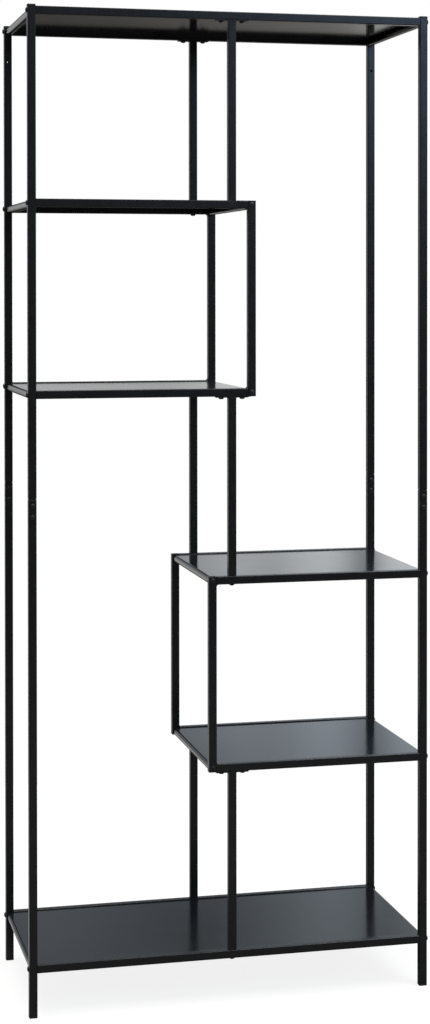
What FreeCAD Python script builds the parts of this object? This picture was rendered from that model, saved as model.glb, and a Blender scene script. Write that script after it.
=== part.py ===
import FreeCAD, Part
import os
import Sketcher

# Zigzag bookshelf of black square steel tube, in millimetres.
# Origin: floor level, midway between the four posts. +Z up, front towards -Y, +X to the right.

SIZES = (
    # Whole frame, over the outer faces of the posts
    ("frame_width", 760),
    ("frame_depth", 375),
    ("shelf_pitch", 350),
    ("bottom_level", 97),
    ("post_joint_level", 949),
    ("box_overhang", 45),
    # Square tube
    ("tube_size", 15),
    ("tube_wall", 1.2),
    ("tube_corner", 1.5),
    # Shelf panels, the folds at their ends and the lips along the rails
    ("panel_recess", 2),
    ("panel_sheet", 1.2),
    ("panel_lip", 7),
    ("lip_relief", 2),
    ("fold_setback", 2.5),
    ("fold_drop", 14.5),
    ("fold_width", 12),
    ("fold_upturn", 6),
    ("fold_top_radius", 5.5),
    ("fold_low_radius", 6.5),
    ("fold_back_radius", 3),
    # Divider plates and weld fillets
    ("plate_length", 62),
    ("plate_thickness", 2),
    ("plate_screw_offset", 20),
    ("divider_bead", 2.5),
    ("corner_bead", 5),
    # Caps, feet and joiners
    ("cap_height", 3),
    ("foot_height", 3),
    ("foot_plug_length", 14),
    ("plug_edge", 0.8),
    ("box_plug_length", 13),
    ("joiner_length", 120),
    ("joiner_wall", 2),
    ("joiner_screw_first", 12),
    ("joiner_screw_spacing", 21),
    # Bolts, screws and what they thread into
    ("bolt_diameter", 6),
    ("bolt_grip", 13),
    ("bolt_head_diameter", 10),
    ("bolt_head_height", 3),
    ("bolt_socket", 4),
    ("plate_screw_diameter", 5),
    ("plate_screw_grip", 7),
    ("low_screw_diameter", 4),
    ("box_screw_grip", 8),
    ("low_head_diameter", 9),
    ("low_head_height", 1.5),
    ("low_socket", 3),
    ("insert_length", 20),
    ("nut_body_diameter", 8),
    ("nut_collar_diameter", 10),
    ("nut_collar_height", 1.5),
    ("nut_length", 9),
    ("anchor_access_hole", 5),
    ("anchor_screw_hole", 2.5),
    ("anchor_hole_drop", 67),
    # Clearances
    ("slide_gap", 0.2),
    ("hole_gap", 0.4),
    ("thread_gap", 0.3),
)

doc = FreeCAD.newDocument("zigzag_bookshelf")
sheet = doc.addObject("Spreadsheet::Sheet", "Sizes")
for row, (alias, value) in enumerate(SIZES, start=1):
    sheet.set(f"A{row}", str(value))
    sheet.setAlias(f"A{row}", alias)
doc.recompute()

X_AXIS = FreeCAD.Vector(1, 0, 0)
Y_AXIS = FreeCAD.Vector(0, 1, 0)
Z_AXIS = FreeCAD.Vector(0, 0, 1)
UPRIGHT = FreeCAD.Rotation()
ALONG_X = FreeCAD.Rotation(Y_AXIS, 90)
UPSIDE_DOWN = FreeCAD.Rotation(X_AXIS, 180)
# A fastener's own shank points down its -Z; these turn the shank to the named direction.
SHANK_RIGHT = FreeCAD.Rotation(Y_AXIS, -90)
SHANK_LEFT = FreeCAD.Rotation(Y_AXIS, 90)
SHANK_BACK = FreeCAD.Rotation(X_AXIS, 90)
SHANK_FORWARD = FreeCAD.Rotation(X_AXIS, -90)


def size(alias):
    """Expression that names one cell of the sheet."""
    return f"Sizes.{alias}"


def value_of(expression):
    """Present value of an expression, for the first position of sketched lines."""
    return float(sheet.evalExpression(expression))


def cell(alias):
    return value_of(size(alias))


# Expressions that several pieces share
TUBE = size("tube_size")
BORE = f"({TUBE} - 2 * {size('tube_wall')})"
PLUG = f"({BORE} - 2 * {size('slide_gap')})"
HALF_WIDTH = f"({size('frame_width')} / 2)"
HALF_DEPTH = f"({size('frame_depth')} / 2)"
POST_X = f"({HALF_WIDTH} - {TUBE} / 2)"
POST_Y = f"({HALF_DEPTH} - {TUBE} / 2)"
INNER_DEPTH = f"({size('frame_depth')} - 2 * {TUBE})"
BOX_POST_X = f"({size('box_overhang')} - {TUBE} / 2)"
DIVIDER_HEIGHT = f"({size('shelf_pitch')} - {TUBE})"
BOLT_HOLE = f"({size('bolt_diameter')} + 2 * {size('hole_gap')})"
BOLT_THREAD = f"({size('bolt_diameter')} + 2 * {size('thread_gap')})"
PLATE_HOLE = f"({size('plate_screw_diameter')} + 2 * {size('hole_gap')})"
PLATE_THREAD = f"({size('plate_screw_diameter')} + 2 * {size('thread_gap')})"
LOW_HOLE = f"({size('low_screw_diameter')} + 2 * {size('hole_gap')})"
LOW_THREAD = f"({size('low_screw_diameter')} + 2 * {size('thread_gap')})"
NUT_HOLE = f"({size('nut_body_diameter')} + 2 * {size('hole_gap')})"

TIERS = 5
SIDES = (("front", -1), ("rear", 1))
ENDS = (("left", -1), ("right", 1))


def level(number):
    """Top of the rails of shelf `number`, counted from the bottom shelf, 0."""
    return f"({size('bottom_level')} + {number} * {size('shelf_pitch')})"


def rail_axis(number):
    return f"({level(number)} - {TUBE} / 2)"


POST_TOP = level(TIERS)


def signed(sign, expression):
    return expression if sign > 0 else f"-{expression}"


# Shelf name, level number, whether its left and right ends stop at a corner post
SHELVES = (
    ("bottom", 0, True, True),
    ("right_lower", 1, False, True),
    ("right_upper", 2, False, True),
    ("left_lower", 3, True, False),
    ("left_upper", 4, True, False),
    ("top", 5, True, True),
)
# Divider tier name and the level number of the shelf that it stands on
DIVIDERS = (("bottom", 0), ("middle", 2), ("top", 4))
# Box name, level number of its lower shelf, side on which it ends in mid air
BOXES = (("right_box", 1, -1), ("left_box", 3, 1))


# Placing, sketching and cutting

def place(obj, x="0", y="0", z="0", turn=UPRIGHT):
    obj.Placement = FreeCAD.Placement(FreeCAD.Vector(), turn)
    for axis, expression in zip("xyz", (x, y, z)):
        obj.setExpression(f"Placement.Base.{axis}", expression)
    return obj


def new_body(label):
    body = doc.addObject("PartDesign::Body", label)
    body.Label = label
    return body


def sketch_on(body, role, offset=None):
    """Sketch on one of the body's own origin planes, or parallel to it at an offset along its normal."""
    sketch = body.newObject("Sketcher::SketchObject", f"{body.Name}_sketch")
    plane = next(feature for feature in body.Origin.OriginFeatures if feature.Role == role)
    sketch.AttachmentSupport = [(plane, "")]
    sketch.MapMode = "FlatFace"
    if offset is not None:
        sketch.setExpression("AttachmentOffset.Base.z", offset)
    return sketch


def bind(sketch, constraint, expression):
    index = sketch.addConstraint(constraint)
    sketch.setExpression(f"Constraints[{index}]", expression)


def closed_outline(sketch, corners):
    """Four-sided outline with level and upright sides, from its lower left corner round to the left."""
    first = sketch.GeometryCount
    points = [FreeCAD.Vector(x, y, 0) for x, y in corners]
    for index in range(4):
        sketch.addGeometry(Part.LineSegment(points[index], points[(index + 1) % 4]), False)
    for index in range(4):
        following = first + (index + 1) % 4
        sketch.addConstraint(Sketcher.Constraint("Coincident", first + index, 2, following, 1))
    for index, direction in enumerate(("Horizontal", "Vertical", "Horizontal", "Vertical")):
        sketch.addConstraint(Sketcher.Constraint(direction, first + index))
    return first


def rectangle(sketch, width, height):
    """Rectangle centred on the sketch origin."""
    half_width = value_of(width) / 2
    half_height = value_of(height) / 2
    signs = ((-1, -1), (1, -1), (1, 1), (-1, 1))
    first = closed_outline(sketch, [(x * half_width, y * half_height) for x, y in signs])
    sketch.addConstraint(Sketcher.Constraint("Symmetric", first, 1, first + 1, 2, -1, 1))
    bind(sketch, Sketcher.Constraint("DistanceX", first, 1, first, 2, 2 * half_width), width)
    bind(sketch, Sketcher.Constraint("DistanceY", first + 1, 1, first + 1, 2, 2 * half_height), height)


def position(expression):
    """Present value of a position; None stands for the sketch's own axis."""
    return 0.0 if expression is None else value_of(expression)


def pin(sketch, kind, geometry, point, expression):
    """Hold a point at its position along X or Y."""
    value = position(expression)
    if expression is None:
        axis = -2 if kind == "DistanceX" else -1
        sketch.addConstraint(Sketcher.Constraint("PointOnObject", geometry, point, axis))
    elif value > 0:
        bind(sketch, Sketcher.Constraint(kind, -1, 1, geometry, point, value), expression)
    else:
        bind(sketch, Sketcher.Constraint(kind, geometry, point, -1, 1, -value), f"-({expression})")


def circle(sketch, diameter, across, along):
    """Circle at (across, along); None puts it on the sketch's own axis in that direction."""
    centre = FreeCAD.Vector(position(across), position(along), 0)
    index = sketch.addGeometry(Part.Circle(centre, Z_AXIS, value_of(diameter) / 2), False)
    bind(sketch, Sketcher.Constraint("Diameter", index, value_of(diameter)), diameter)
    pin(sketch, "DistanceX", index, 3, across)
    pin(sketch, "DistanceY", index, 3, along)


def stepped_outline(sketch, uprights, levels):
    """Closed outline of upright and level sides in turn, at the given positions across and along."""
    corners = []
    for index, across in enumerate(uprights):
        for along in (levels[index - 1], levels[index]):
            corners.append(FreeCAD.Vector(position(across), position(along), 0))
    count = len(corners)
    for index, corner in enumerate(corners):
        sketch.addGeometry(Part.LineSegment(corner, corners[(index + 1) % count]), False)
    for index in range(count):
        sketch.addConstraint(Sketcher.Constraint("Coincident", index, 2, (index + 1) % count, 1))
        sketch.addConstraint(Sketcher.Constraint("Horizontal" if index % 2 else "Vertical", index))
    for index, (across, along) in enumerate(zip(uprights, levels)):
        pin(sketch, "DistanceX", 2 * index, 1, across)
        pin(sketch, "DistanceY", 2 * index + 1, 1, along)


def pad(body, sketch, length, side_type="One side"):
    feature = body.newObject("PartDesign::Pad", f"{body.Name}_pad")
    feature.Profile = sketch
    feature.SideType = side_type
    feature.setExpression("Length", length)
    doc.recompute()
    return feature


def drill(body, role, diameter, places, walls):
    """Round holes through a tube on its centre plane: both walls, or the one ahead of or behind it."""
    before = body.Shape.Volume
    sketch = sketch_on(body, role)
    for along in places:
        circle(sketch, diameter, None, along)
    pocket = body.newObject("PartDesign::Pocket", f"{body.Name}_holes")
    pocket.Profile = sketch
    pocket.Type = "ThroughAll"
    pocket.SideType = "Symmetric" if walls == "both" else "One side"
    pocket.Reversed = walls == "normal side"
    doc.recompute()
    if body.Shape.Volume >= before:
        raise RuntimeError(f"{body.Label}: the holes cut nothing")


def soften(body, feature, radius, chosen, kind="Fillet", property_name="Radius"):
    """Round or chamfer the edges of a feature for which chosen(edge) is true."""
    names = [f"Edge{number}" for number, edge in enumerate(feature.Shape.Edges, start=1) if chosen(edge)]
    edging = body.newObject(f"PartDesign::{kind}", f"{body.Name}_edges")
    edging.Base = (feature, names)
    edging.setExpression(property_name, radius)
    doc.recompute()
    return edging


def runs_along(edge, direction):
    start, end = edge.Vertexes[0].Point, edge.Vertexes[-1].Point
    return (end - start).cross(direction).Length < 1e-6 and (end - start).Length > 1e-6


def is_outer_corner(edge, half):
    """Long edge of an upright square section at the corners `half` from its axis."""
    point = edge.Vertexes[0].Point
    at_corner = abs(abs(point.x) - half) < 1e-6 and abs(abs(point.y) - half) < 1e-6
    return at_corner and runs_along(edge, Z_AXIS)


def tube(label, length):
    """Square tube with rounded outer corners, standing on its own XY plane."""
    body = new_body(label)
    section = sketch_on(body, "XY_Plane")
    rectangle(section, TUBE, TUBE)
    rectangle(section, BORE, BORE)
    run = pad(body, section, length)
    half = cell("tube_size") / 2
    soften(body, run, size("tube_corner"), lambda edge: is_outer_corner(edge, half))
    return body


def bead(body, sign, leg, corner_x, corner_z, down):
    """Concave weld fillet in the corner between an upright face and a level one."""
    sketch = sketch_on(body, "XZ_Plane")
    reach = sign * value_of(leg)
    fall = value_of(leg) * (-1 if down else 1)
    corner = FreeCAD.Vector(sign * value_of(corner_x), value_of(corner_z), 0)
    along = corner + FreeCAD.Vector(reach, 0, 0)
    upright = corner + FreeCAD.Vector(0, fall, 0)
    centre = corner + FreeCAD.Vector(reach, fall, 0)
    middle = centre + (corner - centre).normalize() * value_of(leg)
    sketch.addGeometry(Part.LineSegment(corner, along), False)
    sketch.addGeometry(Part.Arc(along, middle, upright), False)
    sketch.addGeometry(Part.LineSegment(upright, corner), False)
    arc_ends = (1, 2) if (sketch.getPoint(1, 1) - along).Length < 1e-6 else (2, 1)
    sketch.addConstraint(Sketcher.Constraint("Coincident", 0, 2, 1, arc_ends[0]))
    sketch.addConstraint(Sketcher.Constraint("Coincident", 1, arc_ends[1], 2, 1))
    sketch.addConstraint(Sketcher.Constraint("Coincident", 2, 2, 0, 1))
    sketch.addConstraint(Sketcher.Constraint("Horizontal", 0))
    sketch.addConstraint(Sketcher.Constraint("Vertical", 2))
    sketch.addConstraint(Sketcher.Constraint("Vertical", 1, 3, 0, 2))
    sketch.addConstraint(Sketcher.Constraint("Horizontal", 1, 3, 2, 1))
    outward = (0, 1, 0, 2) if sign > 0 else (0, 2, 0, 1)
    bind(sketch, Sketcher.Constraint("DistanceX", *outward, value_of(leg)), leg)
    from_axis = (-1, 1, 0, 1) if sign > 0 else (0, 1, -1, 1)
    bind(sketch, Sketcher.Constraint("DistanceX", *from_axis, value_of(corner_x)), corner_x)
    bind(sketch, Sketcher.Constraint("DistanceY", -1, 1, 0, 1, value_of(corner_z)), corner_z)
    pad(body, sketch, f"{TUBE} - 2 * {size('tube_corner')}", "Symmetric")


def box(name, length, width, height):
    """Block with one corner at its own origin."""
    block = doc.addObject("Part::Box", name)
    for side, expression in (("Length", length), ("Width", width), ("Height", height)):
        block.setExpression(side, expression)
    return block


def cylinder(name, diameter, height):
    rod = doc.addObject("Part::Cylinder", name)
    rod.setExpression("Radius", f"{diameter} / 2")
    rod.setExpression("Height", height)
    return rod


def fuse(label, shapes):
    whole = doc.addObject("Part::MultiFuse", label)
    whole.Label = label
    whole.Shapes = shapes
    whole.Refine = True
    return whole


def cut(label, base, tool):
    rest = doc.addObject("Part::Cut", label)
    rest.Label = label
    rest.Base = base
    rest.Tool = tool
    return rest


def group(label, master, places):
    """One node of separate identical solids: a linked copy of the master at each (x, y, z, turn)."""
    copies = []
    for x, y, z, turn in places:
        copy = doc.addObject("App::Link", f"{label}_copy")
        copy.LinkedObject = master
        copies.append(place(copy, x, y, z, turn))
    gathered = doc.addObject("Part::Compound", label)
    gathered.Label = label
    gathered.Links = copies
    return gathered


nodes = []


# Corner posts, each in two halves

def corner_post(side, y_sign, end, x_sign):
    levels = [number for _, number, left, right in SHELVES if (left if end == "left" else right)]
    lower = tube(f"{side}_{end}_post_lower", f"{size('post_joint_level')} - {size('foot_height')}")
    upper = tube(f"{side}_{end}_post_upper", f"{POST_TOP} - {size('post_joint_level')}")
    joint = cell("post_joint_level")
    for half, foot, span in ((lower, "foot_height", (0, joint)), (upper, "post_joint_level", (joint, 1e6))):
        bolts = [rail_axis(number) for number in levels if span[0] <= value_of(rail_axis(number)) < span[1]]
        drill(half, "YZ_Plane", BOLT_HOLE, [f"{bolt} - {size(foot)}" for bolt in bolts], "both")
        place(half, signed(x_sign, POST_X), signed(y_sign, POST_Y), size(foot))
        nodes.append(half)
    below_joint = [f"{size('post_joint_level')} - {size('foot_height')} - {drop}" for drop in JOINER_DROPS]
    drill(lower, "XZ_Plane", LOW_HOLE, below_joint, "normal side")
    if side == "rear":
        anchor = f"{POST_TOP} - {size('post_joint_level')} - {size('anchor_hole_drop')}"
        drill(upper, "XZ_Plane", size("anchor_screw_hole"), [anchor], "both")
        drill(upper, "XZ_Plane", size("anchor_access_hole"), [anchor], "normal side")


JOINER_DROPS = (
    size("joiner_screw_first"),
    f"({size('joiner_screw_first')} + {size('joiner_screw_spacing')})",
)
for side, y_sign in SIDES:
    for end, x_sign in ENDS:
        corner_post(side, y_sign, end, x_sign)


# Shelves: two rails and a recessed panel each

def shelf_end(sign, at_post):
    """Outer face of the posts that close one end of a shelf, as an X position."""
    return signed(sign, HALF_WIDTH if at_post else size("box_overhang"))


def rail(shelf, number, side, y_sign, left, right):
    start = f"({shelf_end(-1, left)} + {TUBE})"
    body = tube(f"{shelf}_{side}_rail", f"{shelf_end(1, right)} - {TUBE} - {start}")
    if number in [base for _, base in DIVIDERS]:
        drill(body, "YZ_Plane", BOLT_HOLE, [f"-{start}"], "both")
    else:
        offsets = [f"-{start} {sign} {size('plate_screw_offset')}" for sign in "-+"]
        drill(body, "YZ_Plane", NUT_HOLE, offsets, "normal side")
    place(body, start, signed(y_sign, POST_Y), rail_axis(number), ALONG_X)
    nodes.append(body)


def bend(body, feature, radius, places):
    """Round the edges along Y at the given (x, z) places of the panel's section."""
    def chosen(edge):
        point = edge.Vertexes[0].Point
        near = any(abs(point.x - x) < 1e-6 and abs(point.z - z) < 1e-6 for x, z in places)
        return near and runs_along(edge, Y_AXIS)
    return soften(body, feature, radius, chosen)


def panel(shelf, number, left, right):
    """Sheet, top at z = 0: ends folded down, in and up, and a lip folded down along each rail."""
    body = new_body(f"{shelf}_panel")
    gauge = size("panel_sheet")
    width = size("fold_width")
    start = f"({shelf_end(-1, left)} + {size('fold_setback')})"
    finish = f"({shelf_end(1, right)} - {size('fold_setback')})"
    uprights = [
        f"({start} + {width})", start, finish, f"({finish} - {width})", f"({finish} - {width} + {gauge})",
        f"({finish} - {gauge})", f"({start} + {gauge})", f"({start} + {width} - {gauge})"]
    base = f"(-{size('fold_drop')})"
    floor = f"({base} + {gauge})"
    upturn = f"({base} + {size('fold_upturn')})"
    section = sketch_on(body, "XZ_Plane")
    stepped_outline(section, uprights, [base, None, base, upturn, floor, f"(-{gauge})", floor, upturn])
    run = pad(body, section, INNER_DEPTH, "Symmetric")
    x = [value_of(upright) for upright in uprights]
    low, inner_low, under = value_of(base), value_of(floor), -value_of(gauge)
    top_bends = [(x[1], 0), (x[2], 0)], [(x[6], under), (x[5], under)]
    low_bends = [(x[1], low), (x[2], low)], [(x[6], inner_low), (x[5], inner_low)]
    back_bends = [(x[0], low), (x[3], low)], [(x[7], inner_low), (x[4], inner_low)]
    bends = (
        ("fold_top_radius", top_bends), ("fold_low_radius", low_bends), ("fold_back_radius", back_bends))
    rounded = run
    for radius, (outside, inside) in bends:
        rounded = bend(body, rounded, f"{size(radius)} - {gauge}", inside)
        rounded = bend(body, rounded, size(radius), outside)
    # The XZ plane's normal points forwards, so the offset along it is the opposite of y.
    relief = f"({width} + {size('lip_relief')})"
    for offset in (f"({INNER_DEPTH} / 2 - {gauge})", f"-{INNER_DEPTH} / 2"):
        lip = sketch_on(body, "XZ_Plane", offset)
        lip_base = f"(-{gauge} - {size('panel_lip')})"
        stepped_outline(lip, [f"({start} + {relief})", f"({finish} - {relief})"], [lip_base, f"(-{gauge})"])
        pad(body, lip, gauge)
    place(body, "0", "0", f"{level(number)} - {size('panel_recess')}")
    nodes.append(body)


for shelf, number, left, right in SHELVES:
    for side, y_sign in SIDES:
        rail(shelf, number, side, y_sign, left, right)
    panel(shelf, number, left, right)


# Centre dividers, each with a plate welded on its top end

def divider(tier, base, side, y_sign):
    tube_length = f"({DIVIDER_HEIGHT} - {size('plate_thickness')})"
    body = tube(f"{tier}_divider_{side}", tube_length)
    sketch = sketch_on(body, "XY_Plane", tube_length)
    rectangle(sketch, size("plate_length"), TUBE)
    for sign in (1, -1):
        circle(sketch, PLATE_HOLE, signed(sign, size("plate_screw_offset")), None)
    pad(body, sketch, size("plate_thickness"))
    for sign in (1, -1):
        bead(body, sign, size("divider_bead"), f"{TUBE} / 2", tube_length, down=True)
    place(body, "0", signed(y_sign, POST_Y), level(base))
    nodes.append(body)


for tier, base in DIVIDERS:
    for side, y_sign in SIDES:
        divider(tier, base, side, y_sign)


# Posts at the free ends of the two half-width boxes

def box_post(name, base, x_sign, side, y_sign):
    height = f"({size('shelf_pitch')} + {TUBE})"
    body = tube(f"{name}_post_{side}", height)
    screw_heights = [f"{TUBE} / 2", f"{size('shelf_pitch')} + {TUBE} / 2"]
    drill(body, "XZ_Plane", LOW_HOLE, screw_heights, "normal side" if y_sign < 0 else "far side")
    for corner_z, down in ((TUBE, False), (size("shelf_pitch"), True)):
        bead(body, -x_sign, size("corner_bead"), f"{TUBE} / 2", corner_z, down)
    place(body, signed(x_sign, BOX_POST_X), signed(y_sign, POST_Y), f"{level(base)} - {TUBE}")
    nodes.append(body)


for name, base, x_sign in BOXES:
    for side, y_sign in SIDES:
        box_post(name, base, x_sign, side, y_sign)


# Caps and feet: a head flush with the tube and a plug inside it

def end_plug(name, head_height, plug_length):
    """Head from z = 0 upwards, plug downwards into the tube."""
    body = new_body(name)
    plug_sketch = sketch_on(body, "XY_Plane", f"-{plug_length}")
    rectangle(plug_sketch, PLUG, PLUG)
    pad(body, plug_sketch, plug_length)
    head_sketch = sketch_on(body, "XY_Plane")
    rectangle(head_sketch, TUBE, TUBE)
    head = pad(body, head_sketch, head_height)
    half = cell("tube_size") / 2
    rounded = soften(body, head, size("tube_corner"), lambda edge: is_outer_corner(edge, half))
    top = rounded.Shape.BoundBox.ZMax
    soften(body, rounded, size("plug_edge"), lambda edge: edge.BoundBox.ZMin > top - 1e-6, "Chamfer", "Size")
    return body


CORNERS = [(signed(x_sign, POST_X), signed(y_sign, POST_Y)) for _, y_sign in SIDES for _, x_sign in ENDS]
# A cap's plug ends just above the bolts of the top shelf.
cap_plug_length = f"(({TUBE} - {BOLT_HOLE}) / 2 - {size('slide_gap')})"
cap = end_plug("cap_master", size("cap_height"), cap_plug_length)
foot = end_plug("foot_master", size("foot_height"), size("foot_plug_length"))
nodes.append(group("post_caps", cap, [(x, y, POST_TOP, UPRIGHT) for x, y in CORNERS]))
nodes.append(group("foot_plugs", foot, [(x, y, size("foot_height"), UPSIDE_DOWN) for x, y in CORNERS]))


# Plugs flush with both ends of each box post, with the thread of the screw that holds them

def box_plug_master():
    body = new_body("box_plug_master")
    sketch = sketch_on(body, "XY_Plane")
    rectangle(sketch, PLUG, PLUG)
    pad(body, sketch, size("box_plug_length"))
    drill(body, "XZ_Plane", LOW_THREAD, [f"{TUBE} / 2"], "both")
    return body


box_plug = box_plug_master()
box_plug_places = []
for _, base, x_sign in BOXES:
    for _, y_sign in SIDES:
        x, y = signed(x_sign, BOX_POST_X), signed(y_sign, POST_Y)
        box_plug_places.append((x, y, f"{level(base)} - {TUBE}", UPRIGHT))
        box_plug_places.append((x, y, level(base + 1), UPSIDE_DOWN))
nodes.append(group("box_plugs", box_plug, box_plug_places))


# Joiners inside the corner posts

def joiner_master():
    """Square sleeve across the tube joint, with threads for the two screws in its front wall."""
    body = new_body("joiner_master")
    sketch = sketch_on(body, "XY_Plane", f"-{size('joiner_length')} / 2")
    rectangle(sketch, PLUG, PLUG)
    inner = f"({PLUG} - 2 * {size('joiner_wall')})"
    rectangle(sketch, inner, inner)
    pad(body, sketch, size("joiner_length"))
    drill(body, "XZ_Plane", LOW_THREAD, [f"-{drop}" for drop in JOINER_DROPS], "normal side")
    return body


joiner = joiner_master()
joints = [(x, y, size("post_joint_level"), UPRIGHT) for x, y in CORNERS]
nodes.append(group("post_joiners", joiner, joints))


# Bolts and screws: head from z = 0 upwards with a hexagon socket, shank downwards

def screw_master(name, head_diameter, head_height, socket, shank_diameter, shank_length):
    head = cylinder(f"{name}_head", head_diameter, head_height)
    shank = cylinder(f"{name}_shank", shank_diameter, shank_length)
    place(shank, z=f"-{shank_length}")
    key = doc.addObject("Part::Prism", f"{name}_key")
    key.Polygon = 6
    key.setExpression("Circumradius", f"{socket} / sqrt(3)")
    key.setExpression("Height", head_height)
    place(key, z=f"{head_height} / 3")
    return cut(name, fuse(f"{name}_solid", [head, shank]), key)


def bolt_master(name, shank_length):
    return screw_master(name, size("bolt_head_diameter"), size("bolt_head_height"), size("bolt_socket"),
                        size("bolt_diameter"), shank_length)


def low_screw_master(name, shank_length):
    return screw_master(name, size("low_head_diameter"), size("low_head_height"), size("low_socket"),
                        size("low_screw_diameter"), shank_length)


through_tube = f"({TUBE} + {size('bolt_grip')})"
shelf_bolt = bolt_master("shelf_bolt_master", through_tube)
divider_bolt = bolt_master("divider_bolt_master", through_tube)
plate_screw = screw_master(
    "plate_screw_master", size("bolt_head_diameter"), size("bolt_head_height"), size("bolt_socket"),
    size("plate_screw_diameter"), f"({size('plate_thickness')} + {size('plate_screw_grip')})")
joiner_screw = low_screw_master(
    "joiner_screw_master", f"({size('tube_wall')} + {size('slide_gap')} + {size('joiner_wall')})")
box_screw = low_screw_master(
    "box_screw_master", f"({size('tube_wall')} + {size('slide_gap')} + {size('box_screw_grip')})")

bolt_places = []
insert_places = []
for _, number, left, right in SHELVES:
    for (_, x_sign), at_post in zip(ENDS, (left, right)):
        if not at_post:
            continue
        for _, y_sign in SIDES:
            y = signed(y_sign, POST_Y)
            shank = SHANK_RIGHT if x_sign < 0 else SHANK_LEFT
            bolt_places.append((signed(x_sign, HALF_WIDTH), y, rail_axis(number), shank))
            rail_end = signed(x_sign, f"({HALF_WIDTH} - {TUBE})")
            insert_places.append((rail_end, y, rail_axis(number), shank))

divider_bolt_places = []
plate_screw_places = []
nut_places = []
for _, base in DIVIDERS:
    for _, y_sign in SIDES:
        y = signed(y_sign, POST_Y)
        divider_bolt_places.append(("0", y, f"{level(base)} - {TUBE}", UPSIDE_DOWN))
        insert_places.append(("0", y, level(base), UPSIDE_DOWN))
        plate_top = f"({level(base)} + {DIVIDER_HEIGHT})"
        for x_sign in (-1, 1):
            x = signed(x_sign, size("plate_screw_offset"))
            plate_screw_places.append((x, y, f"{plate_top} - {size('plate_thickness')}", UPSIDE_DOWN))
            nut_places.append((x, y, plate_top, UPRIGHT))

joiner_screw_places = []
for x, y in CORNERS:
    for drop in JOINER_DROPS:
        z = f"{size('post_joint_level')} - {drop}"
        joiner_screw_places.append((x, f"{y} - {TUBE} / 2", z, SHANK_BACK))

box_screw_places = []
for _, base, x_sign in BOXES:
    for _, y_sign in SIDES:
        for number in (base, base + 1):
            shank = SHANK_BACK if y_sign < 0 else SHANK_FORWARD
            box_screw_places.append(
                (signed(x_sign, BOX_POST_X), signed(y_sign, HALF_DEPTH), rail_axis(number), shank))

nodes.append(group("shelf_bolts", shelf_bolt, bolt_places))
nodes.append(group("divider_bolts", divider_bolt, divider_bolt_places))
nodes.append(group("plate_screws", plate_screw, plate_screw_places))
nodes.append(group("joiner_screws", joiner_screw, joiner_screw_places))
nodes.append(group("box_end_screws", box_screw, box_screw_places))


# Threaded inserts in the rail ends and divider bottoms

def insert_master():
    """Square plug with a through thread, from its mouth at z = 0 downwards."""
    body = new_body("insert_master")
    sketch = sketch_on(body, "XY_Plane", f"-{size('insert_length')}")
    rectangle(sketch, PLUG, PLUG)
    circle(sketch, BOLT_THREAD, None, None)
    pad(body, sketch, size("insert_length"))
    return body


insert = insert_master()
nodes.append(group("threaded_inserts", insert, insert_places))


# Rivet nuts in the rails over the divider plates

def nut_master():
    """Threaded sleeve through the rail's lower wall, with a collar spread on the wall's inner face."""
    body = cylinder("nut_body", size("nut_body_diameter"), size("nut_length"))
    collar = cylinder("nut_collar", size("nut_collar_diameter"), size("nut_collar_height"))
    place(collar, z=size("tube_wall"))
    bore = cylinder("nut_bore", PLATE_THREAD, size("nut_length"))
    return cut("nut_master", fuse("nut_solid", [body, collar]), bore)


nut = nut_master()
nodes.append(group("rivet_nuts", nut, nut_places))

doc.recompute()

for obj in doc.Objects:
    if "Invalid" in obj.State or "Error" in obj.State:
        raise RuntimeError(f"{obj.Label} failed to rebuild: {obj.State}")
for node in nodes:
    if node.Shape.isNull() or not node.Shape.isValid() or not node.Shape.Solids:
        raise RuntimeError(f"{node.Label} has no valid solid")

os.makedirs("parts", exist_ok=True)
for node in nodes:
    node.Shape.exportStep(f"parts/{node.Label}.step")
print(f"{len(nodes)} nodes, {sum(len(node.Shape.Solids) for node in nodes)} solids")
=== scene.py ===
import math

import bmesh
import bpy
from mathutils import Matrix, Vector


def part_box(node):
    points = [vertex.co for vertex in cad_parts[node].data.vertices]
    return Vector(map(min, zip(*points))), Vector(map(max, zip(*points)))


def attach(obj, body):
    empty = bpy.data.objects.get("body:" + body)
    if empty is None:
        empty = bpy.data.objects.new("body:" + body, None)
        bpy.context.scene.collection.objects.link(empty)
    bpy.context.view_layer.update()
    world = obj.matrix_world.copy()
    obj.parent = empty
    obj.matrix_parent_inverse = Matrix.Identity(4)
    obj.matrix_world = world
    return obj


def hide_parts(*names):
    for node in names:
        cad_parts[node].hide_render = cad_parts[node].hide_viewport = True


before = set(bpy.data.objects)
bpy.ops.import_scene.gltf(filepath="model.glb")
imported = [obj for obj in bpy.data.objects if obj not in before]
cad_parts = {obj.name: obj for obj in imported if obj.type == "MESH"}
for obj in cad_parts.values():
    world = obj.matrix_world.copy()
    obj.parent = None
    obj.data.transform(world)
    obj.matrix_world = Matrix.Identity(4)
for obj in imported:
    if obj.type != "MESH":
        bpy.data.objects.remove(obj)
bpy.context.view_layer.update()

# Sizes of the stock that the shelf is made of, in metres
MM = 0.001
TUBE = 15 * MM
TUBE_WALL = 1.2 * MM
TUBE_CORNER = 1.5 * MM
PLATE = 2 * MM
PLATE_CORNER = 2.5 * MM
DIVIDER_BEAD = 2.5 * MM
BOX_BEAD = 5 * MM
SHEET = 1.2 * MM
LIP = 7 * MM
LIP_BEND = 0.9 * MM
LIP_RELIEF = 2 * MM
FOLD_WIDTH = 12 * MM
FOLD_UPTURN = 6 * MM
FOLD_TOP_BEND = 5.5 * MM
FOLD_LOW_BEND = 6.5 * MM
FOLD_BACK_BEND = 3 * MM
CUT_EDGE = 0.25 * MM
JOINT_EDGE = 1.0 * MM
PLATE_EDGE = 0.3 * MM
ANCHOR_ACCESS = 5 * MM
ANCHOR_SCREW = 2.5 * MM
ANCHOR_HEIGHT = 1.780

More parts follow.
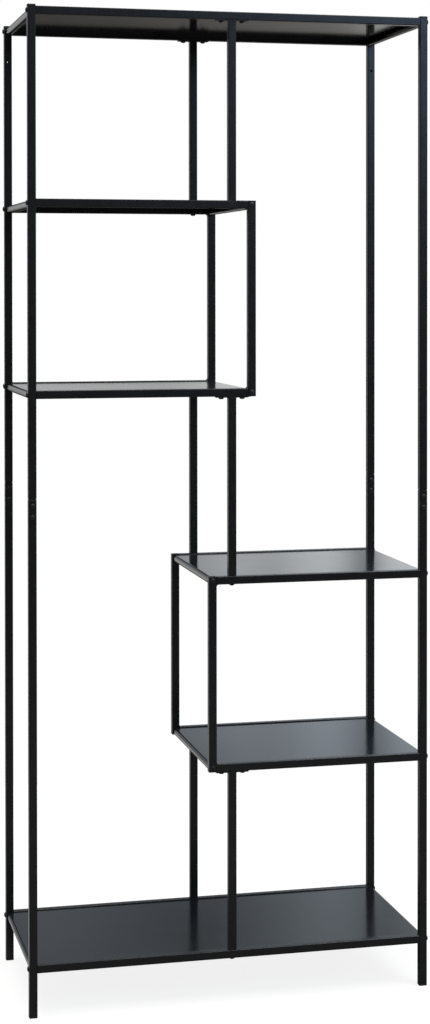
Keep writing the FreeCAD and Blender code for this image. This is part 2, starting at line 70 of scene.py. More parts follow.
# Caps and foot plugs have a head and a shank in the tube, the box plugs only a shank.
PLUG = 12.2 * MM
PLUG_HEAD = 3 * MM
PLUG_RIM = 0.7 * MM
SHANK_CORNER = 0.3 * MM
SHANK_EDGE = 0.2 * MM
BOX_PLUG_LENGTH = 13 * MM
BOX_PLUG_EDGE = 0.4 * MM

# Socket heads, each as its radius, its height, and the hexagon's width and depth
BOLT_HEAD = (5.0 * MM, 3.0 * MM, 4.0 * MM, 1.7 * MM)
PLATE_SCREW_HEAD = (5.0 * MM, 3.0 * MM, 3.0 * MM, 1.7 * MM)
LOW_HEAD = (4.5 * MM, 1.5 * MM, 3.0 * MM, 1.2 * MM)
HEAD_SIDES = 28
PLATE_SCREW_OFFSET = 20 * MM
JOINER_SCREW_DROPS = (12 * MM, 33 * MM)

# Vertices nearer than this are one, and edges sharper than these angles stay sharp.
SAME_PLACE = 1e-7
SAME_PLACE_ON_HEADS = 1e-6
SHARP_ANGLE = math.radians(38)
SHARP_ANGLE_ON_HEADS = math.radians(32)

SIDES = ("front", "rear")
SHELVES = ("top", "left_upper", "left_lower", "right_upper", "right_lower", "bottom")


def box_of(node):
    """Lowest and highest corner of a CAD node."""
    low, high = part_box(node)
    return Vector(low), Vector(high)


# Materials: every one has its grain in Object coordinates

class Finish:
    """Small helper that builds one material's node tree."""

    NOISE_ROUGHNESS = 0.55
    NOISE_SPAN = (0.3, 0.7)
    TINT_SPAN = (0.3, 0.72)

    def __init__(self, name):
        self.material = bpy.data.materials.new(name)
        self.material.use_nodes = True
        self.nodes = self.material.node_tree.nodes
        self.links = self.material.node_tree.links
        self.shader = self.nodes["Principled BSDF"]
        self.place = self.nodes.new("ShaderNodeTexCoord").outputs["Object"]

    def join(self, source, target):
        self.links.new(source, target)

    def noise(self, scale, detail=3.0):
        node = self.nodes.new("ShaderNodeTexNoise")
        node.inputs["Scale"].default_value = scale
        node.inputs["Detail"].default_value = detail
        node.inputs["Roughness"].default_value = self.NOISE_ROUGHNESS
        self.join(self.place, node.inputs["Vector"])
        return node.outputs["Fac"]

    def spread(self, source, low, high):
        """Value that follows the noise from low to high."""
        node = self.nodes.new("ShaderNodeMapRange")
        node.inputs["From Min"].default_value, node.inputs["From Max"].default_value = self.NOISE_SPAN
        node.inputs["To Min"].default_value = low
        node.inputs["To Max"].default_value = high
        self.join(source, node.inputs["Value"])
        return node.outputs["Result"]

    def tint(self, source, dark, pale):
        """Colour that follows the noise from dark to pale."""
        ramp = self.nodes.new("ShaderNodeValToRGB")
        stops = zip(ramp.color_ramp.elements, self.TINT_SPAN, (dark, pale))
        for element, position, colour in stops:
            element.position = position
            element.color = (*colour, 1)
        self.join(source, ramp.inputs["Fac"])
        return ramp.outputs["Color"]

    def bump(self, source, depth, strength, under=None):
        node = self.nodes.new("ShaderNodeBump")
        node.inputs["Distance"].default_value = depth
        node.inputs["Strength"].default_value = strength
        self.join(source, node.inputs["Height"])
        if under is not None:
            self.join(under, node.inputs["Normal"])
        return node.outputs["Normal"]

    def set(self, socket, source):
        target = self.shader.inputs[socket]
        if isinstance(source, bpy.types.NodeSocket):
            self.join(source, target)
        else:
            target.default_value = source


def satin_black_coat():
    """Powder coat of the tubes: fine orange peel, slightly uneven sheen."""
    finish = Finish("satin_black_coat")
    dark, pale = (0.0040, 0.0041, 0.0043), (0.0066, 0.0067, 0.0070)
    finish.set("Base Color", finish.tint(finish.noise(38.0), dark, pale))
    finish.set("Roughness", finish.spread(finish.noise(55.0, 4.0), 0.22, 0.29))
    finish.set("IOR", 1.45)
    peel = finish.bump(finish.noise(1400.0, 2.0), 0.02 * MM, 0.35)
    finish.set("Normal", finish.bump(finish.noise(90.0, 1.0), 0.03 * MM, 0.4, peel))
    return finish.material


def smooth_black_sheet():
    """Coat of the shelf panels: smoother and glossier, on sheet that is not quite flat."""
    finish = Finish("smooth_black_sheet")
    dark, pale = (0.0046, 0.0050, 0.0058), (0.0080, 0.0086, 0.0098)
    finish.set("Base Color", finish.tint(finish.noise(9.0, 4.0), dark, pale))
    finish.set("Roughness", finish.spread(finish.noise(14.0, 5.0), 0.135, 0.155))
    finish.set("IOR", 1.52)
    peel = finish.bump(finish.noise(900.0, 2.0), 0.008 * MM, 0.2)
    finish.set("Normal", finish.bump(finish.noise(4.0, 1.0), 0.35 * MM, 0.3, peel))
    return finish.material


def black_oxide():
    """Bolts and screws: dark blued steel with fine turning marks."""
    finish = Finish("black_oxide")
    dark, pale = (0.010, 0.010, 0.011), (0.024, 0.024, 0.026)
    finish.set("Base Color", finish.tint(finish.noise(420.0), dark, pale))
    finish.set("Metallic", 0.35)
    finish.set("Roughness", finish.spread(finish.noise(700.0), 0.30, 0.46))
    finish.set("Normal", finish.bump(finish.noise(1600.0), 0.02 * MM, 0.4))
    return finish.material


def matt_black_plastic():
    """Caps and foot plugs: moulded plastic with a fine spark-eroded grain."""
    finish = Finish("matt_black_plastic")
    dark, pale = (0.008, 0.008, 0.0085), (0.014, 0.014, 0.0148)
    finish.set("Base Color", finish.tint(finish.noise(220.0), dark, pale))
    finish.set("Roughness", finish.spread(finish.noise(300.0), 0.50, 0.64))
    finish.set("Normal", finish.bump(finish.noise(2600.0, 2.0), 0.03 * MM, 0.5))
    return finish.material


def zinc_plate():
    """Hidden joiners, inserts and nuts: plain zinc-plated steel."""
    finish = Finish("zinc_plate")
    dark, pale = (0.36, 0.37, 0.38), (0.55, 0.55, 0.54)
    finish.set("Base Color", finish.tint(finish.noise(160.0), dark, pale))
    finish.set("Metallic", 1.0)
    finish.set("Roughness", finish.spread(finish.noise(240.0), 0.30, 0.48))
    finish.set("Normal", finish.bump(finish.noise(800.0), 0.02 * MM, 0.3))
    return finish.material


COAT = satin_black_coat()
SHEET_COAT = smooth_black_sheet()
OXIDE = black_oxide()
PLASTIC = matt_black_plastic()
ZINC = zinc_plate()


# Outlines and solids

def rounded_outline(width, height, radius, steps):
    """Rectangle about the origin with rounded corners, anticlockwise."""
    points = []
    for index, (sx, sy) in enumerate(((1, 1), (-1, 1), (-1, -1), (1, -1))):
        centre = Vector((sx * (width / 2 - radius), sy * (height / 2 - radius)))
        for step in range(steps + 1):
            angle = math.radians(90 * (index + step / steps))
            points.append(centre + radius * Vector((math.cos(angle), math.sin(angle))))
    return points


def turned_to(axis):
    """Matrix that turns a solid made along Z so that it runs along the named axis."""
    if axis == "X":
        return Matrix(((0, 0, 1), (1, 0, 0), (0, 1, 0))).to_4x4()
    return Matrix.Identity(4)


def ring(mesh, outline, z, inset=0.0):
    """Ring of vertices at height z; inset moves each side of the outline inwards."""
    half_x = max(point.x for point in outline)
    half_y = max(point.y for point in outline)
    shrink_x = (half_x - inset) / half_x
    shrink_y = (half_y - inset) / half_y
    return [mesh.verts.new((point.x * shrink_x, point.y * shrink_y, z)) for point in outline]


def bridge(mesh, lower, upper):
    """Faces between two rings of as many vertices."""
    count = len(lower)
    for index in range(count):
        after = (index + 1) % count
        mesh.faces.new((lower[index], lower[after], upper[after], upper[index]))


def add_prism(mesh, outline, length, edge, matrix, steps=2):
    """Solid bar along Z from 0 to length, its end edges rounded by `edge`."""
    solid = bmesh.new()
    turns = [math.radians(90 * step / steps) for step in range(steps + 1)]
    rounding = [(edge * (1 - math.cos(turn)), edge * (1 - math.sin(turn))) for turn in turns]
    rings = [ring(solid, outline, rise, inset) for rise, inset in rounding]
    rings += [ring(solid, outline, length - rise, inset) for rise, inset in reversed(rounding)]
    for lower, upper in zip(rings, rings[1:]):
        bridge(solid, lower, upper)
    solid.faces.new(rings[0])
    solid.faces.new(rings[-1])
    bmesh.ops.transform(solid, matrix=matrix, verts=solid.verts)
    settle(solid)
    take_in(mesh, solid)


def add_tube(mesh, length, matrix, start_edge=CUT_EDGE, end_edge=CUT_EDGE):
    """Square tube along Z from 0 to length with a small break on the outer edge of each cut end."""
    outer = rounded_outline(TUBE, TUBE, TUBE_CORNER, steps=6)
    bore = TUBE - 2 * TUBE_WALL
    inner = rounded_outline(bore, bore, TUBE_CORNER - TUBE_WALL, steps=6)
    solid = bmesh.new()
    cuts = ((0, start_edge), (start_edge, 0), (length - end_edge, 0), (length, end_edge))
    rings = [ring(solid, outer, z, inset) for z, inset in cuts]
    rings += [ring(solid, inner, z) for z in (length, 0)]
    for lower, upper in zip(rings, rings[1:] + rings[:1]):
        bridge(solid, lower, upper)
    bmesh.ops.transform(solid, matrix=matrix, verts=solid.verts)
    settle(solid)
    take_in(mesh, solid)


def add_bead(mesh, corner, along_x, along_z, leg, width):
    """Weld fillet in a corner, running along Y: concave face with faint ripples and drawn-in ends."""
    steps = 7
    slices = 25
    ripples = 9
    ripple_depth = 0.05
    end_size = 0.35
    end_growth = 9.0
    solid = bmesh.new()
    rows = []
    for index in range(slices):
        share = index / (slices - 1)
        y = corner.y + width * (share - 0.5)
        end_fade = min(1.0, end_growth * min(share, 1 - share) + end_size)
        ripple = ripple_depth * (0.5 + 0.5 * math.cos(share * ripples * math.tau))
        reach = leg * end_fade * (1 - ripple)
        row = [solid.verts.new((corner.x, y, corner.z))]
        for step in range(steps + 1):
            angle = math.radians(90 * step / steps)
            x = reach * (1 - math.sin(angle))
            z = reach * (1 - math.cos(angle))
            row.append(solid.verts.new((corner.x + along_x * x, y, corner.z + along_z * z)))
        rows.append(row)
    for first, second in zip(rows, rows[1:]):
        bridge(solid, first, second)
    solid.faces.new(rows[0])
    solid.faces.new(rows[-1])
    settle(solid)
    take_in(mesh, solid)


def settle(solid):
    """Merges doubles and turns every face of one closed solid outwards."""
    bmesh.ops.remove_doubles(solid, verts=solid.verts, dist=SAME_PLACE)
    bmesh.ops.recalc_face_normals(solid, faces=solid.faces)


def take_in(mesh, solid):
    """Adds a finished solid to a piece's mesh, its vertices kept apart from the others."""
    data = bpy.data.meshes.new("solid")
    solid.to_mesh(data)
    solid.free()
    mesh.from_mesh(data)
    bpy.data.meshes.remove(data)


def finish_piece(name, mesh, material, nodes, cutters=()):
    """Turns the built mesh into a shown piece that stands for its CAD nodes."""
    data = bpy.data.meshes.new(name)
    mesh.to_mesh(data)
    mesh.free()
    data.materials.append(material)
    data.shade_smooth()
    data.set_sharp_from_angle(angle=SHARP_ANGLE)
    piece = bpy.data.objects.new(name, data)
    bpy.context.scene.collection.objects.link(piece)
    for cutter in cutters:
        hole = piece.modifiers.new("hole", "BOOLEAN")
        hole.operation = "DIFFERENCE"
        hole.solver = "EXACT"
        hole.object = cutter
    flat = piece.modifiers.new("flat_faces", "WEIGHTED_NORMAL")
    flat.keep_sharp = True
    bake(piece)
    for cutter in cutters:
        bpy.data.objects.remove(cutter)
    hand_over(piece, nodes)


def bake(piece):
    """Replaces the piece's mesh by the result of its modifiers and takes these away."""
    graph = bpy.context.evaluated_depsgraph_get()
    result = bpy.data.meshes.new_from_object(piece.evaluated_get(graph))
    result.name = piece.name
    piece.modifiers.clear()
    piece.data = result


def hand_over(piece, nodes):
    """Puts the piece on the root body and hides the CAD nodes that it stands for."""
    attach(piece, "root")
    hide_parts(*nodes)


def coated(node):
    return f"{node}.coated"


# Posts and rails: plain lengths of tube

def lie_along(low, high, axis):
    """Matrix for a solid along `axis` whose section is centred in the box from low to high."""
    start = (low + high) / 2
    start["XYZ".index(axis)] = low["XYZ".index(axis)]
    return Matrix.Translation(start) @ turned_to(axis)


def anchor_drill(low, high, diameter, towards):
    """Rod that cuts a hole in one wall of a rear post: the front wall for -1, the rear wall for 1."""
    bpy.ops.mesh.primitive_cylinder_add(vertices=32, radius=diameter / 2, depth=TUBE)
    drill = bpy.context.object
    centre = (low + high) / 2
    place = Matrix.Translation((centre.x, centre.y + towards * TUBE / 2, ANCHOR_HEIGHT))
    drill.matrix_world = place @ Matrix.Rotation(math.pi / 2, 4, "X")
    bpy.context.view_layer.update()
    drill.hide_render = True
    return drill


def dress_tube(node, axis, edges=(CUT_EDGE, CUT_EDGE), drilled=False):
    low, high = box_of(node)
    length = high["XYZ".index(axis)] - low["XYZ".index(axis)]
    mesh = bmesh.new()
    add_tube(mesh, length, lie_along(low, high, axis), *edges)
    cutters = []
    if drilled:
        cutters = [anchor_drill(low, high, ANCHOR_ACCESS, -1), anchor_drill(low, high, ANCHOR_SCREW, 1)]
    finish_piece(coated(node), mesh, COAT, [node], cutters)


# Where the two halves of a post butt, their wider edge breaks leave a fine groove.
for side in SIDES:
    for end in ("left", "right"):
        dress_tube(f"{side}_{end}_post_lower", "Z", (CUT_EDGE, JOINT_EDGE))
        dress_tube(f"{side}_{end}_post_upper", "Z", (JOINT_EDGE, CUT_EDGE), drilled=side == "rear")
    for shelf in SHELVES:
        dress_tube(f"{shelf}_{side}_rail", "X")


# Dividers: tube, welded plate and the two small welds under it

def dress_divider(node):
    low, high = box_of(node)
    centre = (low + high) / 2
    mesh = bmesh.new()
    foot = Matrix.Translation((centre.x, centre.y, low.z))
    add_tube(mesh, high.z - PLATE - low.z, foot)
    plate = rounded_outline(high.x - low.x, TUBE, PLATE_CORNER, steps=5)
    add_prism(mesh, plate, PLATE, PLATE_EDGE, Matrix.Translation((centre.x, centre.y, high.z - PLATE)))
    for side in (-1, 1):
        corner = Vector((centre.x + side * TUBE / 2, centre.y, high.z - PLATE))
        add_bead(mesh, corner, side, -1, DIVIDER_BEAD, TUBE - 2 * TUBE_CORNER)
    finish_piece(coated(node), mesh, COAT, [node])


for tier in ("top", "middle", "bottom"):
    for side in SIDES:
        dress_divider(f"{tier}_divider_{side}")


# Box-end posts: tube with a weld fillet in each inner corner

def dress_box_post(node, inward):
    low, high = box_of(node)
    outer_x = high.x if inward < 0 else low.x
    centre_x = outer_x + inward * TUBE / 2
    centre_y = (low.y + high.y) / 2
    mesh = bmesh.new()
    add_tube(mesh, high.z - low.z, Matrix.Translation((centre_x, centre_y, low.z)))
    for z, rise in ((low.z + TUBE, 1), (high.z - TUBE, -1)):
        corner = Vector((centre_x + inward * TUBE / 2, centre_y, z))
        add_bead(mesh, corner, inward, rise, BOX_BEAD, TUBE - 2 * TUBE_CORNER)
    finish_piece(coated(node), mesh, COAT, [node])


for side in SIDES:
    dress_box_post(f"left_box_post_{side}", -1)
    dress_box_post(f"right_box_post_{side}", 1)


# Shelf panels: ends folded down, in and up, and a lip softly bent down along each rail

def arc(centre, radius, first, last, steps):
    """Points of an arc; the angles are in degrees."""
    middle = Vector(centre)
    turns = [math.radians(first + (last - first) * step / steps) for step in range(steps + 1)]
    return [middle + radius * Vector((math.cos(turn), math.sin(turn))) for turn in turns]


def fold_section(drop):
    """Section of a folded end, as (distance in from its outer face, height from the panel's top)."""
    top = (FOLD_TOP_BEND, -FOLD_TOP_BEND)
    low = (FOLD_LOW_BEND, FOLD_LOW_BEND - drop)
    back = (FOLD_WIDTH - FOLD_BACK_BEND, FOLD_BACK_BEND - drop)
    turns = (
        (top, FOLD_TOP_BEND, 90, 180, 16),
        (low, FOLD_LOW_BEND, 180, 270, 16),
        (back, FOLD_BACK_BEND, 270, 360, 10),
    )
    points = []
    for centre, bend, first, last, steps in turns:
        points += arc(centre, bend, first, last, steps)
    points.append(Vector((FOLD_WIDTH, FOLD_UPTURN - drop)))
    points.append(Vector((FOLD_WIDTH - SHEET, FOLD_UPTURN - drop)))
    for centre, bend, first, last, steps in reversed(turns):
        points += arc(centre, bend - SHEET, last, first, steps)
    return points


def sheet_section(depth, lipped):
    """Section of the sheet across the shelf, as (y, height from its top)."""
    half = depth / 2
    if lipped:
        base = -SHEET - LIP
        points = [Vector((-half, base)), Vector((-half + SHEET, base)), Vector((-half + SHEET, -SHEET))]
        points += [Vector((half - SHEET, -SHEET)), Vector((half - SHEET, base)), Vector((half, base))]
    else:
        points = [Vector((-half, -SHEET)), Vector((half, -SHEET))]
    points += arc((half - LIP_BEND, -LIP_BEND), LIP_BEND, 0, 90, 5)
    points += arc((LIP_BEND - half, -LIP_BEND), LIP_BEND, 90, 180, 5)
    return points


def add_run(mesh, near, far):
    """Solid between two equal outlines given as lists of positions."""
    solid = bmesh.new()
    ends = [[solid.verts.new(point) for point in outline] for outline in (near, far)]
    bridge(solid, *ends)
    for end in ends:
        solid.faces.new(end)
    settle(solid)
    take_in(mesh, solid)


def dress_panel(node):
    low, high = box_of(node)
    depth = high.y - low.y
    mesh = bmesh.new()
    section = fold_section(high.z - low.z)
    for outer, inward in ((low.x, 1), (high.x, -1)):
        outline = [(outer + inward * point.x, high.z + point.y) for point in section]
        add_run(mesh, *([(x, y, z) for x, z in outline] for y in (low.y, high.y)))
    lip_start = FOLD_WIDTH + LIP_RELIEF
    stops = (low.x + FOLD_TOP_BEND, low.x + lip_start, high.x - lip_start, high.x - FOLD_TOP_BEND)
    for start, finish, lipped in zip(stops, stops[1:], (False, True, False)):
        outline = [(point.x, high.z + point.y) for point in sheet_section(depth, lipped)]
        add_run(mesh, *([(x, y, z) for y, z in outline] for x in (start, finish)))
    finish_piece(coated(node), mesh, SHEET_COAT, [node])


for shelf in SHELVES:
    dress_panel(f"{shelf}_panel")


# Caps and foot plugs: the heads that show, with rounded rims

def dress_plugs(node, up):
    low, high = box_of(node)
    mesh = bmesh.new()
    head = rounded_outline(TUBE, TUBE, TUBE_CORNER, steps=6)
    head_z = high.z - PLUG_HEAD if up else low.z
    shank = rounded_outline(PLUG, PLUG, SHANK_CORNER, steps=2)
    shank_z = low.z if up else low.z + PLUG_HEAD
    shank_length = high.z - low.z - PLUG_HEAD
    for x in (low.x + TUBE / 2, high.x - TUBE / 2):
        for y in (low.y + TUBE / 2, high.y - TUBE / 2):
            add_prism(mesh, head, PLUG_HEAD, PLUG_RIM, Matrix.Translation((x, y, head_z)), steps=4)
            add_prism(mesh, shank, shank_length, SHANK_EDGE, Matrix.Translation((x, y, shank_z)))
    finish_piece(f"{node}.moulded", mesh, PLASTIC, [node])


dress_plugs("post_caps", up=True)
dress_plugs("foot_plugs", up=False)


def dress_box_plugs(node):
    """Plain plugs flush with both ends of the four box posts."""
    mesh = bmesh.new()
    outline = rounded_outline(PLUG, PLUG, BOX_PLUG_EDGE, steps=3)
    for box in ("left_box_post", "right_box_post"):
        for side in SIDES:
            low, high = box_of(f"{box}_{side}")
            x = high.x - TUBE / 2 if box.startswith("left") else low.x + TUBE / 2
            y = (low.y + high.y) / 2
            for z in (low.z, high.z - BOX_PLUG_LENGTH):
                add_prism(mesh, outline, BOX_PLUG_LENGTH, BOX_PLUG_EDGE, Matrix.Translation((x, y, z)))
    finish_piece(f"{node}.moulded", mesh, PLASTIC, [node])


dress_box_plugs("box_plugs")


# Screw heads: one tree makes a domed socket head and sets it on every marked place

def socket_head_tree():
    tree = bpy.data.node_groups.new("socket_heads", "GeometryNodeTree")
    tree.interface.new_socket("Places", in_out="INPUT", socket_type="NodeSocketGeometry")
    for label in ("Head Radius", "Head Height", "Socket Width", "Socket Depth"):
        tree.interface.new_socket(label, in_out="INPUT", socket_type="NodeSocketFloat")
    tree.interface.new_socket("Finish", in_out="INPUT", socket_type="NodeSocketMaterial")
    tree.interface.new_socket("Heads", in_out="OUTPUT", socket_type="NodeSocketGeometry")
    nodes = tree.nodes
    links = tree.links
    given = nodes.new("NodeGroupInput").outputs
    result = nodes.new("NodeGroupOutput").inputs

    def times(source, factor):
        node = nodes.new("ShaderNodeMath")
        node.operation = "MULTIPLY"
        links.new(source, node.inputs[0])
        node.inputs[1].default_value = factor
        return node.outputs[0]

    def upward(height):
        node = nodes.new("ShaderNodeCombineXYZ")
        links.new(height, node.inputs["Z"])
        return node.outputs[0]

    def disc():
        node = nodes.new("GeometryNodeMeshCircle")
        node.fill_type = "NGON"
        node.inputs["Vertices"].default_value = HEAD_SIDES
        links.new(given["Head Radius"], node.inputs["Radius"])
        return node.outputs["Mesh"]

    # The dome: a disc drawn up and in, step by step; each step is (share of height, share of radius)
    steps = ((0.30, 1.0), (0.22, 0.955), (0.18, 0.87), (0.14, 0.75), (0.10, 0.61), (0.06, 0.50))
    shape = disc()
    top = None
    width = 1.0
    for rise, share in steps:
        extrude = nodes.new("GeometryNodeExtrudeMesh")
        extrude.inputs["Individual"].default_value = False
        links.new(shape, extrude.inputs["Mesh"])
        if top is not None:
            links.new(top, extrude.inputs["Selection"])
        links.new(upward(times(given["Head Height"], rise)), extrude.inputs["Offset"])
        extrude.inputs["Offset Scale"].default_value = 1.0
        draw_in = nodes.new("GeometryNodeScaleElements")
        links.new(extrude.outputs["Mesh"], draw_in.inputs["Geometry"])
        links.new(extrude.outputs["Top"], draw_in.inputs["Selection"])
        draw_in.inputs["Scale"].default_value = share / width
        shape = draw_in.outputs["Geometry"]
        top = extrude.outputs["Top"]
        width = share

    underside = nodes.new("GeometryNodeFlipFaces")
    links.new(disc(), underside.inputs["Mesh"])
    closed = nodes.new("GeometryNodeJoinGeometry")
    links.new(shape, closed.inputs[0])
    links.new(underside.outputs[0], closed.inputs[0])
    weld = nodes.new("GeometryNodeMergeByDistance")
    links.new(closed.outputs[0], weld.inputs["Geometry"])
    weld.inputs["Distance"].default_value = SAME_PLACE_ON_HEADS

    # The hexagon socket
    key = nodes.new("GeometryNodeMeshCylinder")
    key.inputs["Vertices"].default_value = 6
    links.new(times(given["Socket Width"], 1 / math.sqrt(3)), key.inputs["Radius"])
    links.new(times(given["Socket Depth"], 2.0), key.inputs["Depth"])
    lift = nodes.new("GeometryNodeTransform")
    links.new(key.outputs["Mesh"], lift.inputs["Geometry"])
    links.new(upward(given["Head Height"]), lift.inputs["Translation"])
    cut = nodes.new("GeometryNodeMeshBoolean")
    cut.operation = "DIFFERENCE"
    links.new(weld.outputs[0], cut.inputs["Mesh 1"])
    links.new(lift.outputs[0], cut.inputs["Mesh 2"])

    # One head at every place, turned as the place says
    turn = nodes.new("GeometryNodeInputNamedAttribute")
    turn.data_type = "FLOAT_VECTOR"
    turn.inputs["Name"].default_value = "turn"
    rotation = nodes.new("FunctionNodeEulerToRotation")
    links.new(turn.outputs["Attribute"], rotation.inputs[0])
    spread = nodes.new("GeometryNodeInstanceOnPoints")
    links.new(given["Places"], spread.inputs["Points"])
    links.new(cut.outputs["Mesh"], spread.inputs["Instance"])
    links.new(rotation.outputs[0], spread.inputs["Rotation"])
    realize = nodes.new("GeometryNodeRealizeInstances")
    links.new(spread.outputs[0], realize.inputs[0])
    paint = nodes.new("GeometryNodeSetMaterial")
    links.new(realize.outputs[0], paint.inputs["Geometry"])
    links.new(given["Finish"], paint.inputs["Material"])
    links.new(paint.outputs[0], result[0])
    return tree


SOCKET_HEADS = socket_head_tree()

# Turns of a head, which is made facing up
LEFT = (0, -math.pi / 2, 0)
RIGHT = (0, math.pi / 2, 0)
FRONT = (math.pi / 2, 0, 0)
REAR = (-math.pi / 2, 0, 0)
DOWN = (math.pi, 0, 0)


def dress_screws(node, places, radius, height, socket_width, socket_depth):
    """Heads at the given places, each as its position and the turn that faces it outwards."""
    points = bpy.data.meshes.new(node)
    points.from_pydata([position for position, _ in places], [], [])
    turns = points.attributes.new("turn", "FLOAT_VECTOR", "POINT")
    for index, (_, facing) in enumerate(places):
        turns.data[index].vector = facing
    piece = bpy.data.objects.new(f"{node}.heads", points)
    bpy.context.scene.collection.objects.link(piece)
    modifier = piece.modifiers.new("heads", "NODES")
    modifier.node_group = SOCKET_HEADS
    sockets = {item.name: item.identifier for item in SOCKET_HEADS.interface.items_tree}
    modifier[sockets["Head Radius"]] = radius
    modifier[sockets["Head Height"]] = height
    modifier[sockets["Socket Width"]] = socket_width
    modifier[sockets["Socket Depth"]] = socket_depth
    modifier[sockets["Finish"]] = OXIDE
    bake(piece)
    piece.data.shade_smooth()
    piece.data.set_sharp_from_angle(angle=SHARP_ANGLE_ON_HEADS)
    hand_over(piece, [node])


def post_lines():
    """X and Y of the tube axes, from the posts' boxes."""
    low, high = box_of("front_left_post_lower")
    return -(low.x + high.x) / 2, -(low.y + high.y) / 2


POST_X, POST_Y = post_lines()


def rail_axis(shelf):
    low, high = box_of(f"{shelf}_front_rail")
    return (low.z + high.z) / 2


shelf_bolts = []
for shelf in SHELVES:
    for side in (-1, 1):
        if not shelf.startswith("right"):
            shelf_bolts.append(((-POST_X - TUBE / 2, side * POST_Y, rail_axis(shelf)), LEFT))
        if not shelf.startswith("left"):
            shelf_bolts.append(((POST_X + TUBE / 2, side * POST_Y, rail_axis(shelf)), RIGHT))
dress_screws("shelf_bolts", shelf_bolts, *BOLT_HEAD)

divider_bolts = []
for shelf in ("left_upper", "right_upper", "bottom"):
    for side in (-1, 1):
        divider_bolts.append(((0, side * POST_Y, rail_axis(shelf) - TUBE / 2), DOWN))
dress_screws("divider_bolts", divider_bolts, *BOLT_HEAD)

plate_screws = []
for shelf in ("top", "left_lower", "right_lower"):
    for side in (-1, 1):
        for x in (-PLATE_SCREW_OFFSET, PLATE_SCREW_OFFSET):
            plate_screws.append(((x, side * POST_Y, rail_axis(shelf) - TUBE / 2 - PLATE), DOWN))
dress_screws("plate_screws", plate_screws, *PLATE_SCREW_HEAD)

_, lower_post_top = box_of("front_left_post_lower")
joiner_screws = []
for x in (-POST_X, POST_X):
    for y in (-POST_Y, POST_Y):
        for drop in JOINER_SCREW_DROPS:
            joiner_screws.append(((x, y - TUBE / 2, lower_post_top.z - drop), FRONT))
dress_screws("joiner_screws", joiner_screws, *LOW_HEAD)

box_end_screws = []
for shelf in ("left_upper", "left_lower", "right_upper", "right_lower"):
    box = "left_box_post_front" if shelf.startswith("left") else "right_box_post_front"
    low, high = box_of(box)
    x = high.x - TUBE / 2 if shelf.startswith("left") else low.x + TUBE / 2
    for side, facing in ((-1, FRONT), (1, REAR)):
        box_end_screws.append(((x, side * (POST_Y + TUBE / 2), rail_axis(shelf)), facing))
dress_screws("box_end_screws", box_end_screws, *LOW_HEAD)

# What is hidden in the tubes keeps its CAD shape.
for node in ("post_joiners", "threaded_inserts", "rivet_nuts"):
    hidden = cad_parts[node]
    hidden.data.materials.clear()
    hidden.data.materials.append(ZINC)


# Floor, light and surroundings

def pale_floor():
    material = bpy.data.materials.new("pale_floor")
    material.use_nodes = True
    nodes = material.node_tree.nodes
    links = material.node_tree.links
    nodes.clear()
    output = nodes.new("ShaderNodeOutputMaterial")
    diffuse = nodes.new("ShaderNodeBsdfDiffuse")
    diffuse.inputs["Color"].default_value = (0.21, 0.206, 0.202, 1)
    glow = nodes.new("ShaderNodeEmission")
    glow.inputs["Color"].default_value = (0.85, 0.85, 0.85, 1)

    def combine(operation, first, second):
        node = nodes.new("ShaderNodeMath")
        node.operation = operation
        links.new(first, node.inputs[0])
        links.new(second, node.inputs[1])
        return node.outputs[0]

    def fade(source, start, end, strength):
        node = nodes.new("ShaderNodeMapRange")
        node.inputs["From Min"].default_value = start
        node.inputs["From Max"].default_value = end
        node.inputs["To Max"].default_value = strength
        links.new(source, node.inputs["Value"])
        return node.outputs["Result"]

    # Painted reflection: only reflections see the glow, and only in a patch of floor on the left,
    # behind the front posts, where no pale sheet lies; it brightens what the shelf's left-facing faces
    # reflect.
    path = nodes.new("ShaderNodeLightPath")
    place = nodes.new("ShaderNodeSeparateXYZ")
    links.new(nodes.new("ShaderNodeTexCoord").outputs["Object"], place.inputs[0])
    glow_patch_side = fade(place.outputs["X"], start=-0.33, end=-0.40, strength=0.40)
    glow_patch_front = fade(place.outputs["Y"], start=-0.20, end=-0.05, strength=1.0)
    in_glow_patch = combine("MULTIPLY", glow_patch_side, glow_patch_front)
    reflected = combine("MULTIPLY", path.outputs["Is Glossy Ray"], in_glow_patch)
    seen = combine("MAXIMUM", path.outputs["Is Camera Ray"], path.outputs["Is Transmission Ray"])
    links.new(combine("MAXIMUM", seen, reflected), glow.inputs["Strength"])
    both = nodes.new("ShaderNodeAddShader")
    links.new(diffuse.outputs[0], both.inputs[0])
    links.new(glow.outputs[0], both.inputs[1])
    links.new(both.outputs[0], output.inputs["Surface"])
    return material


FLOOR_REACH = 4.0
FLOOR_BACK = 1.7

floor_mesh = bpy.data.meshes.new("studio_floor")
corners = ((-1, -FLOOR_REACH), (1, -FLOOR_REACH), (1, FLOOR_BACK), (-1, FLOOR_BACK))
floor_mesh.from_pydata([(side * FLOOR_REACH, y, 0) for side, y in corners], [], [(0, 1, 2, 3)])
floor_mesh.materials.append(pale_floor())
floor = bpy.data.objects.new("studio_floor", floor_mesh)
bpy.context.scene.collection.objects.link(floor)


def greys(*stops):
    """Stops of a plain grey ramp, from pairs of position and level."""
    return [(position, (level, level, level)) for position, level in stops]


